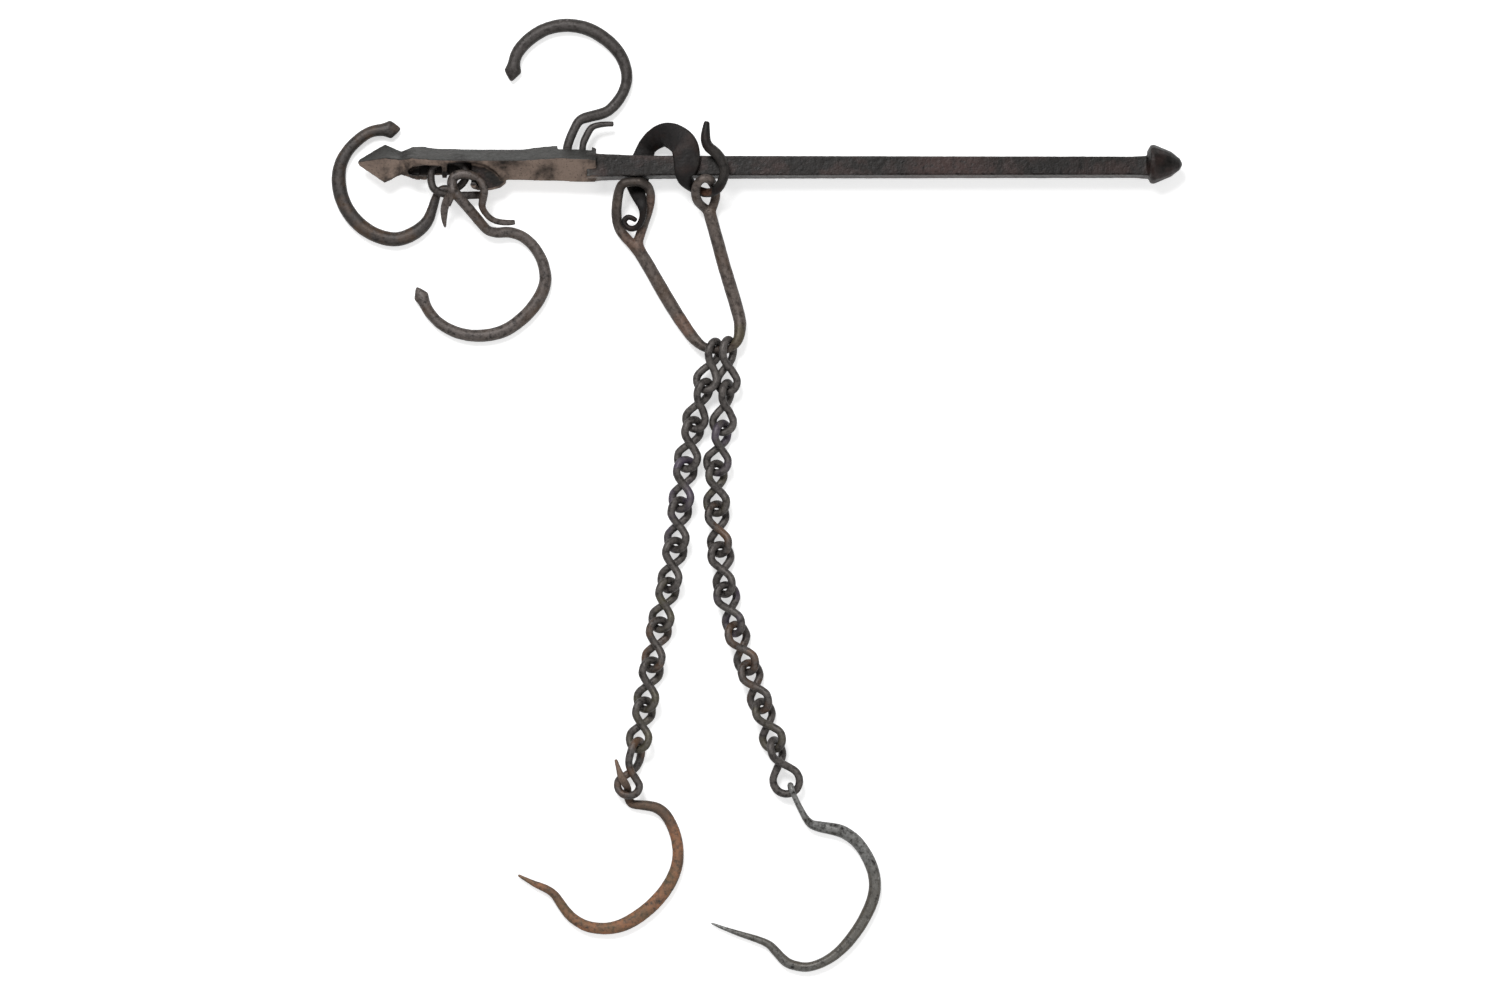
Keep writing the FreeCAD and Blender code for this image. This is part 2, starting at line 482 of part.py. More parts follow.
def chain(start, leans, rolls, heights, slack, first_stretch, last_sizes):
    """Links hung one in another; a lean is the angle from straight down towards -X."""
    plain = link()
    first = link(first_stretch)
    last = link(*last_sizes)
    hold = LINK_HALF - (WIRE + slack) / 2
    joint = start
    placed = []
    pivots = [V(start)]
    count = len(leans)
    for n in range(count):
        a = math.radians(leans[n])
        down = V(-math.sin(a), -math.cos(a), 0)
        above = hold
        below = hold
        if n == 0:
            above = LINK_HALF * first_stretch - WIRE / 2 - FIRST_GAP
        if n == count - 1:
            above += LINK_HALF * (last_sizes[0] - 1)
            below = LINK_HALF * last_sizes[1]
        top = V(joint.x, joint.y, heights[n][0])
        flat_run = above + below
        end = V(joint.x, joint.y, 0) + down * flat_run
        end.z = heights[n][1]
        axis = unit(top - end)
        middle = end + axis * below
        side = unit(axis.cross(V(0, 0, 1)))
        face = side.cross(axis)
        r = math.radians(rolls[n])
        x_dir = side * math.cos(r) - face * math.sin(r)
        z_dir = face * math.cos(r) + side * math.sin(r)
        m = FreeCAD.Matrix(x_dir.x, axis.x, z_dir.x, middle.x,
                           x_dir.y, axis.y, z_dir.y, middle.y,
                           x_dir.z, axis.z, z_dir.z, middle.z,
                           0, 0, 0, 1)
        shape = (first if n == 0 else last if n == count - 1 else plain).copy()
        shape.transformShape(m)
        placed.append(shape)
        pivots.append(V(end))
        joint = end
    return placed, pivots


def joint_heights(rolls, first, last, second=0.0):
    """Height of each joint, so that the eyes on both its sides just clear the table."""
    heights = []
    for n, roll in enumerate(rolls[:-1]):
        lower = abs(math.sin(math.radians(roll - TWIST)))
        upper = abs(math.sin(math.radians(rolls[n + 1] + TWIST)))
        heights.append(EYE_RADIUS * max(lower, upper) + WIRE / 2 + FLOOR_GAP)
    heights[0] = max(heights[0], second)
    tops = [first] + heights
    ends = heights + [last]
    return list(zip(tops, ends))


LEFT_LEANS = (14.5, 16, 11, 8, 6.5, 10, 12.5, 11, 10, 10.5, 13)
LEFT_ROLLS = (22, 19, 10, 2, 3, 0, 5, -4, 2, 6, 24)
RIGHT_LEANS = (1.5, 6.5, 8.5, 0, -5, -7, -14.5, -19, -19, -18.5, -18)
RIGHT_ROLLS = (22, 28, 19, 10, 1, -8, -8, 0, 0, 8, 24)
LEFT_START = V(-23.2, 79.9, 7.7)
RIGHT_START = V(-15.6, 80.7, 8.3)
# Height of each chain's two ends, and the least height of its first joint
LEFT_ENDS = (8.0, 6.4, 9.8)
RIGHT_ENDS = (7.3, 6.0)


def left_load_hook(pivot):
    knots = [(-5.7, 19.7, 9.0, 0.6, 0.7), (-4.4, 15.0, 9.2, 1.2, 1.0),
             (-2.7, 10.3, 9.9, 1.7, 1.1), (-0.7, 6.9, 8.0, 1.9, 1.1),
             (0.8, 3.9, 4.5, 1.8, 1.2), (0.6, 1.0, 2.1, 2.1, 1.4),
             (1.5, -2.9, 2.0, 2.2, 1.6), (4.0, -5.2, 2.4, 2.3, 1.9),
             (9.6, -5.6, 2.8, 2.5, 2.3), (15.8, -6.4, 3.0, 2.8, 2.6),
             (21.6, -10.3, 3.1, 2.9, 2.8), (26.1, -17.7, 3.1, 2.9, 2.8),
             (28.8, -27.6, 3.1, 2.9, 2.8), (28.6, -37.5, 3.1, 3.1, 2.9),
             (25.2, -47.4, 3.2, 3.3, 3.0), (18.6, -56.8, 3.2, 3.5, 3.0),
             (9.8, -65.2, 3.2, 3.7, 3.1), (-1.0, -71.6, 3.2, 3.6, 3.1),
             (-11.4, -73.8, 3.1, 3.0, 2.9), (-22.1, -72.3, 3.0, 2.9, 2.8),
             (-31.0, -66.8, 2.9, 2.7, 2.6), (-36.2, -59.5, 2.8, 2.3, 2.4),
             (-39.5, -54.3, 2.7, 2.1, 2.2), (-44.7, -50.9, 2.5, 1.9, 2.0),
             (-51.3, -48.7, 2.4, 1.5, 1.7), (-59.3, -44.1, 2.2, 0.4, 0.6)]
    return bar(moved(knots, pivot))


def right_load_hook(pivot):
    knots = [(1.4, -1.6, 1.8, 1.3, 1.2), (0.6, 1.4, 1.9, 1.4, 1.5),
             (0.1, 3.9, 3.7, 1.5, 1.5), (0.0, 4.5, 6.3, 1.4, 1.4),
             (0.3, 3.8, 9.2, 1.5, 1.4), (1.4, 0.3, 10.5, 1.4, 1.5),
             (3.1, -3.5, 9.7, 1.4, 1.7), (5.2, -7.9, 7.6, 1.4, 1.8),
             (7.8, -13.1, 5.3, 1.6, 2.2), (11.8, -17.4, 3.9, 2.3, 2.7),
             (18.1, -18.8, 3.4, 3.0, 3.0), (25.4, -19.7, 3.3, 3.3, 3.1),
             (32.2, -22.6, 3.3, 3.3, 3.1), (38.8, -28.6, 3.3, 3.2, 3.1),
             (44.5, -38.2, 3.3, 3.2, 3.1), (47.1, -49.8, 3.3, 3.2, 3.1),
             (44.8, -61.5, 3.3, 3.2, 3.1), (38.4, -73.6, 3.3, 3.1, 3.0),
             (29.4, -85.2, 3.2, 2.8, 2.9), (20.3, -92.3, 3.1, 2.4, 2.7),
             (9.3, -95.9, 3.0, 2.4, 2.6), (-1.2, -93.7, 2.9, 2.6, 2.6),
             (-7.5, -87.9, 2.8, 2.4, 2.4), (-11.9, -82.7, 2.6, 1.9, 2.2),
             (-18.8, -80.0, 2.5, 1.7, 2.0), (-26.5, -78.0, 2.4, 1.4, 1.8),
             (-34.2, -75.4, 2.2, 1.0, 1.5), (-43.5, -71.5, 2.0, 0.4, 0.6)]
    return bar(moved(knots, pivot), level=False)


def main():
    pieces = {"beam": beam(), "hook_a": hook_a(), "hook_b": hook_b(), "hook_c": hook_c(),
              "collar": collar(), "v_shackle": v_shackle()}
    left, left_pivots = chain(LEFT_START, LEFT_LEANS, LEFT_ROLLS,
                              joint_heights(LEFT_ROLLS, *LEFT_ENDS),
                              LEFT_SLACK, 1.0, LAST_LEFT)
    right, right_pivots = chain(RIGHT_START, RIGHT_LEANS, RIGHT_ROLLS,
                                joint_heights(RIGHT_ROLLS, *RIGHT_ENDS),
                                RIGHT_SLACK, FIRST_RIGHT_STRETCH, LAST_RIGHT)
    for n, shape in enumerate(left):
        pieces["link_l%d" % (n + 1)] = shape
    for n, shape in enumerate(right):
        pieces["link_r%d" % (n + 1)] = shape
    pieces["load_hook_left"] = left_load_hook(left_pivots[-1])
    pieces["load_hook_right"] = right_load_hook(right_pivots[-1])
    os.makedirs("parts", exist_ok=True)
    for name, shape in pieces.items():
        shape.exportStep("parts/%s.step" % name)


main()
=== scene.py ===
"""Hand-forged iron steelyard with hooks, collar, shackle and two chains, flat on a pale table."""

import json
import math

import bmesh
import bpy
import numpy as np
from bpy.props import FloatProperty, FloatVectorProperty, IntProperty, PointerProperty
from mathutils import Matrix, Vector, noise
from mathutils.bvhtree import BVHTree


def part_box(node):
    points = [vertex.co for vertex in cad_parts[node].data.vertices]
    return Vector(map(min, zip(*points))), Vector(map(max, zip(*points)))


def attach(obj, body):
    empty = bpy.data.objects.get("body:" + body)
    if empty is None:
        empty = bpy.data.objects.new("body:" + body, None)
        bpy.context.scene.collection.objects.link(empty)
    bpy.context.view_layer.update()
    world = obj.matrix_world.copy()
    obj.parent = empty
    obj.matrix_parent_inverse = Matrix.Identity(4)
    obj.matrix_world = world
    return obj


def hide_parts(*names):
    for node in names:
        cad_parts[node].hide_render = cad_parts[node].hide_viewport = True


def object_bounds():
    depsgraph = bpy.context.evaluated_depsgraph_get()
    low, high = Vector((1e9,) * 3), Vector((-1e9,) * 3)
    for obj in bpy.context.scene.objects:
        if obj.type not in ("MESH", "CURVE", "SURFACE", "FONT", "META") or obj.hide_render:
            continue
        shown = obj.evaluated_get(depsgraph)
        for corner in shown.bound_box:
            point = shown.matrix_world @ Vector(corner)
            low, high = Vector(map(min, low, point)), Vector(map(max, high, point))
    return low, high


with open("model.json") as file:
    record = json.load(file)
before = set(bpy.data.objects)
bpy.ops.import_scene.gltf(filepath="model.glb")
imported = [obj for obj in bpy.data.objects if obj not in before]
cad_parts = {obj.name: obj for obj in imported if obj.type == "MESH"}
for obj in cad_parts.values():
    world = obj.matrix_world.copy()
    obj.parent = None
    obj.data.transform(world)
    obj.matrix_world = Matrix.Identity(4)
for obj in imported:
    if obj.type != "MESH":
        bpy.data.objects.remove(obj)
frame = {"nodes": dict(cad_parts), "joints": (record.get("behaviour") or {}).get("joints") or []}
CAD_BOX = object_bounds()

bl_info = {
    "name": "Forged steelyard",
    "version": (1, 0, 0),
    "blender": (4, 5, 0),
    "location": "3D View > Sidebar > Steelyard",
    "description": "Dresses the frame of an iron steelyard as hammered and rusted wrought iron",
    "category": "Object",
}

MM = 0.001
UP = Vector((0, 0, 1))
WHITE = (1.0, 1.0, 1.0, 1.0)

# How far round a piece its neighbours are looked for, and the air that is kept beside them.
REACH = 1.2 * MM
CLEAR_GAP = 0.5 * MM
# Corners closer than this are one, and triangles this flat and square are one facet again.
MERGE_DISTANCE = 0.001 * MM
FACET_TURN = math.radians(14)
FACET_SKEW = math.radians(80)
# An edge of a rod bent more than this stays crisp, as on the faceted finials.
FINIAL_EDGE = math.radians(56)
FINIAL_CREASE = 0.9
# How often a rod's facets are halved before they are rubbed round, and how far each rub goes.
ROUND_LEVELS = 2
RUB_SHARE = 0.5

# Width of the soft blotches of stain and depth of the finest relief, which only the material has.
BLOTCH_WIDTH = 13 * MM
BUMP_DEPTH = 0.25 * MM

# The two chains: how many links each has, how many at the top have no room to be widened, and
# the joint at each chain's foot.
LINKS_PER_CHAIN = 11
CROWDED_LINKS = 2
LAST_JOINT = {"l": "load_hook_left_swing", "r": "load_hook_right_swing"}

# A link's wire about the link's middle: the solid's own centre line, but rounder.
WIRE_RADIUS = 2.06 * MM
WIRE_POINTS = 30
# Each eye's radius, its distance from the middle, where its arc ends and how far it is turned.
EYE_RADIUS = 5.64 * MM
EYE_OFFSET = 8.06 * MM
EYE_END = math.radians(212)
LINK_TWIST = math.radians(38)
# A worn eye's width against the solid's, and the place, share and length of its widest part.
EYE_WIDTH = 1.06
EYE_BULGE = 0.15
BULGE_PLACE = 4.2 * MM
BULGE_LENGTH = 2.8 * MM
# The strands' height over the mean plane where they cross, and the way that they run there.
STRAND_HEIGHT = 2.2 * MM
CROSSING_DIRECTION = Vector((0.76, -0.65, 0.0))
# From the top of an eye to the joint that it shares with the next link.
HELD_LENGTH = 2.525 * MM
ARC_STEPS = 28
STRAND_STEPS = 14
# Turn of each link about its own length, in degrees, from the top of the chain down.
LINK_ROLLS = {
    "l": (22, 19, 10, 2, 3, 0, 5, -4, 2, 6, 24),
    "r": (22, 28, 19, 10, 1, -8, -8, 0, 0, 8, 24),
}
# Links that differ: length of the upper and the lower half, and width of the lower eye.
LINK_SIZES = {
    ("l", 10): (1.36, 0.9, 1.02),
    ("r", 0): (1.1, 1.0, 1.0),
    ("r", 10): (1.0, 1.24, 1.22),
}

# The photograph's frame and the place of the origin in it, in its own pixels, and a pixel's size.
PHOTO_WIDTH = 1500
PHOTO_HEIGHT = 1000
PHOTO_ORIGIN_U = 756.5
PHOTO_ORIGIN_V = 495.5
PHOTO_SCALE = 0.55 * MM
# The columns of the photograph between which the thick arm steps down to the thin one.
STEP_LEFT = 585
STEP_RIGHT = 606

CAMERA_HEIGHT = 5.0
TABLE_SIZE = 6.0
TABLE_DROP = 0.2 * MM
TABLE_GLOW = 0.55
ROOM_LIGHT = 0.3
# Each lamp's name, place, size and power in metres and watts.
LAMPS = (
    ("lamp_north", (-0.5, 1.3, 1.9), 0.8, 38.0),
    ("lamp_south", (1.2, -1.3, 1.5), 1.3, 10.0),
)


def linear(hex_colour):
    """sRGB hex string to the linear red, green, blue and alpha that shaders take."""
    channels = []
    for start in (1, 3, 5):
        value = int(hex_colour[start:start + 2], 16) / 255.0
        channels.append(value / 12.92 if value <= 0.04045 else ((value + 0.055) / 1.055) ** 2.4)
    return (*channels, 1.0)


def at(u, v, z=8.0):
    """Place in the frame of a spot of the photograph, at a height in millimetres."""
    across, up = u - PHOTO_ORIGIN_U, PHOTO_ORIGIN_V - v
    return Vector((across * PHOTO_SCALE, up * PHOTO_SCALE, z * MM))


def colour_prop(label, words, hex_colour):
    """A colour that a user can change, given as its sRGB hex value."""
    return FloatVectorProperty(
        name=label, description=words, subtype="COLOR", size=4, min=0.0, max=1.0,
        default=linear(hex_colour),
    )


def length_prop(label, words, millimetres):
    """A length that a user can change, given in millimetres."""
    return FloatProperty(
        name=label, description=words, subtype="DISTANCE", unit="LENGTH", min=0.0,
        default=millimetres * MM,
    )


def count_prop(label, words, count):
    """A whole number that a user can change."""
    return IntProperty(name=label, description=words, min=0, default=count)


class SteelyardForging(bpy.types.PropertyGroup):
    """Sizes of the marks that hammer, fire and age left on the iron."""

    bar_grain: length_prop("Bar grain", "Distance between mesh points on the beam", 0.55)
    rod_grain: length_prop(
        "Rod grain", "Distance between mesh points on hooks, collar and shackle", 0.42,
    )
    bar_rounding: count_prop("Bar rounding", "How worn the beam's edges are", 2)
    rod_rounding: count_prop("Rod rounding", "How worn the rods' ends and welds are", 2)
    rod_swell: length_prop("Rod swell", "Iron that rounding took off the rods, put back", 0.3)
    wire_swell: length_prop("Wire swell", "Iron that the links keep where they don't rub", 0.06)
    blow_width: length_prop(
        "Hammer blow width", "Distance from one soft hammer mark to the next", 8.0,
    )
    blow_depth: length_prop("Hammer blow depth", "Depth of the soft hammer marks", 0.2)
    scale_width: length_prop("Scale width", "Size of the flakes that fire scale left", 2.6)
    scale_depth: length_prop("Scale depth", "Depth that flaked scale left behind", 0.1)
    # Rust pits are mostly finer; these are as coarse as they need to be to show.
    pit_width: length_prop("Pit width", "Size of the rust pits", 1.1)
    pit_depth: length_prop("Pit depth", "Depth of the rust pits", 0.07)


class SteelyardColours(bpy.types.PropertyGroup):
    """Colours of the iron's skins and of the studio."""

    # Each piece's dark and rubbed colours also give it painted shade down its flanks and a painted
    # highlight along its top; the beam has neither.
    bar_dark: colour_prop("Bar, dark", "Darkest skin of the beam", "#100e0d")
    bar_mid: colour_prop("Bar, middle", "Usual skin of the beam", "#1c1917")
    bar_light: colour_prop("Bar, rubbed", "Rubbed edges of the beam", "#4a4645")
    bar_red: colour_prop("Bar, red", "Reddish stain on the beam", "#3d2d2a")
    # Painted sheen on the thick arm's upper face; on the grey fulcrum hook, a real grey stain.
    grey_stain_and_sheen: colour_prop("Bar, smooth", "Smooth grey face of the thick arm", "#41413f")
    bar_brown: colour_prop("Bar, brown", "Brown lower face of the thick arm", "#8e7c70")
    hook_dark: colour_prop("Hook, dark", "Darkest skin of the fulcrum hooks", "#292523")
    hook_mid: colour_prop("Hook, middle", "Usual skin of the fulcrum hooks", "#3c3835")
    hook_light: colour_prop("Hook, rubbed", "Rubbed edges of the fulcrum hooks", "#6e6968")
    hook_rust: colour_prop("Hook, rust", "Brown rust on the fulcrum hooks", "#54402f")
    collar_dark: colour_prop("Collar, dark", "Darkest skin of the collar", "#151414")
    collar_mid: colour_prop("Collar, middle", "Usual skin of the collar", "#211e1e")
    collar_rust: colour_prop("Collar, rust", "Dull red rust on the collar", "#2f211d")
    shackle_dark: colour_prop("Shackle, dark", "Darkest skin of the shackle", "#332d2a")
    shackle_mid: colour_prop("Shackle, middle", "Usual skin of the shackle", "#665d58")
    shackle_light: colour_prop("Shackle, rubbed", "Rubbed edges of the shackle", "#70655e")
    shackle_tan: colour_prop("Shackle, tan", "Tan rust round the large eye", "#7d5a48")
    shackle_olive: colour_prop("Shackle, olive", "Olive stain at the lower bend", "#4f4a33")
    chain_dark: colour_prop("Chain, dark", "Darkest skin of the links", "#221e1d")
    chain_mid: colour_prop("Chain, middle", "Usual skin of the links", "#514c49")
    # Along the links' tops this colour is a painted highlight; it also pales their worn edges.
    chain_light: colour_prop("Chain, rubbed", "Rubbed crowns of the links", "#7a7572")
    chain_olive: colour_prop("Chain, olive", "Olive stain on the links", "#5a5540")
    chain_plum: colour_prop("Chain, plum", "Plum-grey stain on the links", "#5a4f64")
    chain_brown: colour_prop("Chain, brown", "Brown rust on the links", "#6b4e38")
    rust_dark: colour_prop("Rust, dark", "Dark islands in the rusted load hook", "#45403a")
    rust_mid: colour_prop("Rust, middle", "Orange-brown rust of the left load hook", "#a27152")
    rust_light: colour_prop("Rust, rubbed", "Rubbed rust of the left load hook", "#8d7362")
    grey_dark: colour_prop("Grey hook, dark", "Olive-brown foot of the right load hook", "#4e463a")
    grey_mid: colour_prop("Grey hook, middle", "Grey skin of the right load hook", "#868684")
    grey_light: colour_prop("Grey hook, rubbed", "Rubbed edges of the right load hook", "#949492")
    floor: colour_prop("Floor", "Pale table top", "#f4f4f4")


def shades(*names):
    """Colours by name, as the user has set them."""
    colours = bpy.context.scene.steelyard_colours
    return [tuple(getattr(colours, name)) for name in names]


def add(tree, kind, values=None, links=None, **attributes):
    """Adds a shader node, sets its attributes and socket values, and links sockets into it."""
    node = tree.nodes.new(kind)
    for name, value in attributes.items():
        setattr(node, name, value)
    for key, value in (values or {}).items():
        node.inputs[key].default_value = value
    for key, source in (links or {}).items():
        tree.links.new(source, node.inputs[key])
    return node


def blank_material(name):
    """Material with an empty node tree."""
    material = bpy.data.materials.new(name)
    material.use_nodes = True
    material.node_tree.nodes.clear()
    return material, material.node_tree


def noise_value(tree, place, grain, detail, rough):
    """Noise whose blotches are about one grain across, in metres."""
    values = {"Scale": 1.0 / grain, "Detail": detail, "Roughness": rough}
    return add(tree, "ShaderNodeTexNoise", values, {"Vector": place}).outputs["Fac"]


def between(tree, value, low, high):
    """Smooth step of a value from 0 at low to 1 at high."""
    node = add(
        tree, "ShaderNodeMapRange", {"From Min": low, "From Max": high}, {"Value": value},
        interpolation_type="SMOOTHSTEP",
    )
    return node.outputs["Result"]


def product(tree, first, second):
    """First value times the second, which is a socket or a number."""
    node = add(tree, "ShaderNodeMath", None, {0: first}, operation="MULTIPLY")
    if isinstance(second, float):
        node.inputs[1].default_value = second
    else:
        tree.links.new(second, node.inputs[1])
    return node.outputs[0]


def stain(tree, under, over, amount):
    """Colour over another by an amount; each colour is a socket or a colour value."""
    node = add(tree, "ShaderNodeMix", None, {"Factor": amount}, data_type="RGBA")
    for socket, colour in ((node.inputs[6], under), (node.inputs[7], over)):
        if isinstance(colour, bpy.types.NodeSocket):
            tree.links.new(colour, socket)
        else:
            socket.default_value = colour
    return node.outputs[2]


def axis_of(tree, vector, letter):
    """One of the three parts of a vector."""
    return add(tree, "ShaderNodeSeparateXYZ", None, {"Vector": vector}).outputs[letter]


def spot(tree, place, middle, radius, ragged):
    """Ragged round patch about a middle: 1 inside, falling to 0 at the radius, in metres."""
    reach = add(tree, "ShaderNodeVectorMath", {1: middle}, {0: place}, operation="DISTANCE")
    wander = add(tree, "ShaderNodeMath", {1: -0.5}, {0: ragged}, operation="ADD")
    edge = add(
        tree, "ShaderNodeMath", {1: radius * 1.6},
        {0: wander.outputs[0], 2: reach.outputs["Value"]}, operation="MULTIPLY_ADD",
    )
    return between(tree, edge.outputs[0], radius, radius * 0.55)


def wrought_iron(
    name, dark, mid, light, patch,
    spots=(), patch_share=0.5, rough=0.5, faces=None, metallic=0.3, crown=0.3,
):
    """Wrought iron, forged by hand, oiled and worn: a dark oxide skin with rubbed pale edges.

    The eye gets a mottled, pitted satin with soft blotches of stain, darker in concave hollows,
    with painted shade down the flanks and a painted highlight along what faces up, both set by
    the crown share. Oxide and rust cover the iron, so only about a third of its shine is metal's.
    """
    forging = bpy.context.scene.steelyard_forging
    material, tree = blank_material(name)
    coordinates = add(tree, "ShaderNodeTexCoord").outputs
    place = coordinates["Object"]
    blotches = noise_value(tree, place, BLOTCH_WIDTH, 4.0, 0.6)
    mottle = noise_value(tree, place, forging.scale_width, 6.0, 0.62)
    pits = noise_value(tree, place, forging.pit_width, 3.0, 0.5)
    bend = add(tree, "ShaderNodeNewGeometry").outputs["Pointiness"]
    upward = axis_of(tree, coordinates["Normal"], "Z")

    # The noises run from about 0.3 to 0.7, so each pair of limits sets how much a layer covers.
    # The oxide skin comes first, and the stains lie over it in soft blotches.
    colour = stain(tree, dark, mid, between(tree, mottle, 0.3, 0.62))
    stained = product(tree, between(tree, blotches, 0.45, 0.66), patch_share)
    colour = stain(tree, colour, patch, stained)
    if faces is not None:
        colour = faces(tree, colour, coordinates, blotches)
    for middle, radius, spot_colour, share in spots:
        patchy = product(tree, spot(tree, place, middle, radius, blotches), share)
        patchy = product(tree, patchy, between(tree, mottle, 0.25, 0.6))
        colour = stain(tree, colour, spot_colour, patchy)

    # Painted highlight along what faces up and pale rubbed edges; painted shade down the flanks;
    # darker in concave hollows and in pits.
    painted_top_highlight = product(tree, between(tree, upward, 0.7, 0.99), between(tree, mottle, 0.2, 0.55))
    colour = stain(tree, colour, light, product(tree, painted_top_highlight, crown))
    painted_flank_shade = product(tree, between(tree, upward, 0.75, 0.2), crown * 1.8)
    colour = stain(tree, colour, dark, painted_flank_shade)
    rubbed = product(tree, between(tree, bend, 0.5, 0.57), between(tree, mottle, 0.35, 0.6))
    colour = stain(tree, colour, light, product(tree, rubbed, 0.7))
    colour = stain(tree, colour, dark, product(tree, between(tree, bend, 0.49, 0.44), 0.55))
    colour = stain(tree, colour, dark, product(tree, between(tree, pits, 0.4, 0.3), 0.5))

    low, high = rough - 0.09, rough + 0.12
    gloss_range = {"From Min": 0.3, "From Max": 0.7, "To Min": low, "To Max": high}
    gloss = add(tree, "ShaderNodeMapRange", gloss_range, {"Value": mottle})
    deep = add(tree, "ShaderNodeMath", {1: 0.6}, {0: mottle, 2: pits}, operation="MULTIPLY_ADD")
    depth = {"Strength": 0.55, "Distance": BUMP_DEPTH}
    relief = add(tree, "ShaderNodeBump", depth, {"Height": deep.outputs[0]})
    sockets = {
        "Base Color": colour,
        "Roughness": gloss.outputs["Result"],
        "Normal": relief.outputs["Normal"],
    }
    values = {"Metallic": metallic, "Specular IOR Level": 0.3}
    skin = add(tree, "ShaderNodeBsdfPrincipled", values, sockets)
    add(tree, "ShaderNodeOutputMaterial", None, {"Surface": skin.outputs["BSDF"]})
    return material


def solid_copy(node, rounded):
    """Closed mesh with the shape of a solid of the frame; a rod is made ready to be rounded."""
    work = bmesh.new()
    work.from_mesh(frame["nodes"][node].data)
    bmesh.ops.remove_doubles(work, verts=work.verts, dist=MERGE_DISTANCE)
    if rounded:
        bmesh.ops.join_triangles(
            work, faces=work.faces,
            angle_face_threshold=FACET_TURN, angle_shape_threshold=FACET_SKEW,
        )
        crease = work.edges.layers.float.new("crease_edge")
        for edge in work.edges:
            if len(edge.link_faces) == 2 and edge.calc_face_angle() > FINIAL_EDGE:
                edge[crease] = FINIAL_CREASE
    mesh = bpy.data.meshes.new(node + "_shape")
    work.to_mesh(mesh)
    work.free()
    return mesh


def evenly_meshed(mesh, name, grain, rounding, rounded):
    """The mesh with even points one grain apart, its faceting rubbed round."""
    rough_piece = bpy.data.objects.new(name, mesh)
    bpy.context.scene.collection.objects.link(rough_piece)
    if rounded:
        round_off = rough_piece.modifiers.new("Rounded", "SUBSURF")
        round_off.levels = ROUND_LEVELS
    even = rough_piece.modifiers.new("Even grain", "REMESH")
    even.mode = "VOXEL"
    even.voxel_size = grain
    rubbed = rough_piece.modifiers.new("Rubbed round", "SMOOTH")
    rubbed.factor = RUB_SHARE
    rubbed.iterations = rounding
    bpy.context.view_layer.update()
    evaluated = rough_piece.evaluated_get(bpy.context.evaluated_depsgraph_get())
    result = bpy.data.meshes.new_from_object(evaluated)
    bpy.data.objects.remove(rough_piece)
    bpy.data.meshes.remove(mesh)
    result.name = name
    return result


def near_solids(node):
    """Search trees of the other solids whose boxes come within reach of a node's box."""
    low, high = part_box(node)
    trees = []
    for other, piece in frame["nodes"].items():
        if other == node:
            continue
        other_low, other_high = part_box(other)
        apart = max(max(other_low[i] - high[i], low[i] - other_high[i]) for i in range(3))
        if apart < REACH:
            corners = [vertex.co for vertex in piece.data.vertices]
            faces = [tuple(polygon.vertices) for polygon in piece.data.polygons]
            trees.append(BVHTree.FromPolygons(corners, faces))
    return trees


def room(points, node):
    """Free distance from each point to the nearest other solid, up to the reach."""
    free = np.full(len(points), REACH, np.float32)
    for tree in near_solids(node):
        for index, point in enumerate(points.tolist()):
            found = tree.find_nearest(point, float(free[index]))
            if found[0] is not None:
                free[index] = found[3]
    return free


def work_skin(mesh, node, shift, swell, blow_share, swellings=()):
    """Puts back the iron that rounding took off, then hammers, flakes and pits the skin.

    A piece swells only into half of the free room beside it, so it stays worn thin where it rubs.
    """
    forging = bpy.context.scene.steelyard_forging
    count = len(mesh.vertices)
    points = np.empty(count * 3, np.float32)
    normals = np.empty(count * 3, np.float32)
    mesh.vertices.foreach_get("co", points)
    mesh.vertex_normals.foreach_get("vector", normals)
    points = points.reshape(-1, 3)
    grown = np.full(count, swell, np.float32)
    # A swelling is full over the inner third of its radius and then fades away.
    for middle, radius, amount in swellings:
        reach = np.linalg.norm(points - np.array(middle, np.float32), axis=1) / radius
        grown += amount * np.clip(1.5 - 1.5 * reach, 0.0, 1.0)
    layers = (
        (forging.blow_width, forging.blow_depth * blow_share),
        (forging.scale_width, forging.scale_depth),
        (forging.pit_width, forging.pit_depth),
    )
    # A mark goes in or out by half its depth at most.
    for width, depth in layers:
        places = points / width + np.array(shift, np.float32)
        marks = np.fromiter((noise.noise(place) for place in places.tolist()), np.float32, count)
        grown += depth * np.clip(0.8 * marks, -0.5, 0.5)
    limit = np.maximum((room(points, node) - CLEAR_GAP) * 0.5, 0.0)
    grown = np.minimum(grown, limit)
    points += normals.reshape(-1, 3) * grown[:, None]
    low, high = CAD_BOX
    points = np.clip(points, np.array(low, np.float32), np.array(high, np.float32))
    mesh.vertices.foreach_set("co", points.ravel())
    mesh.update()


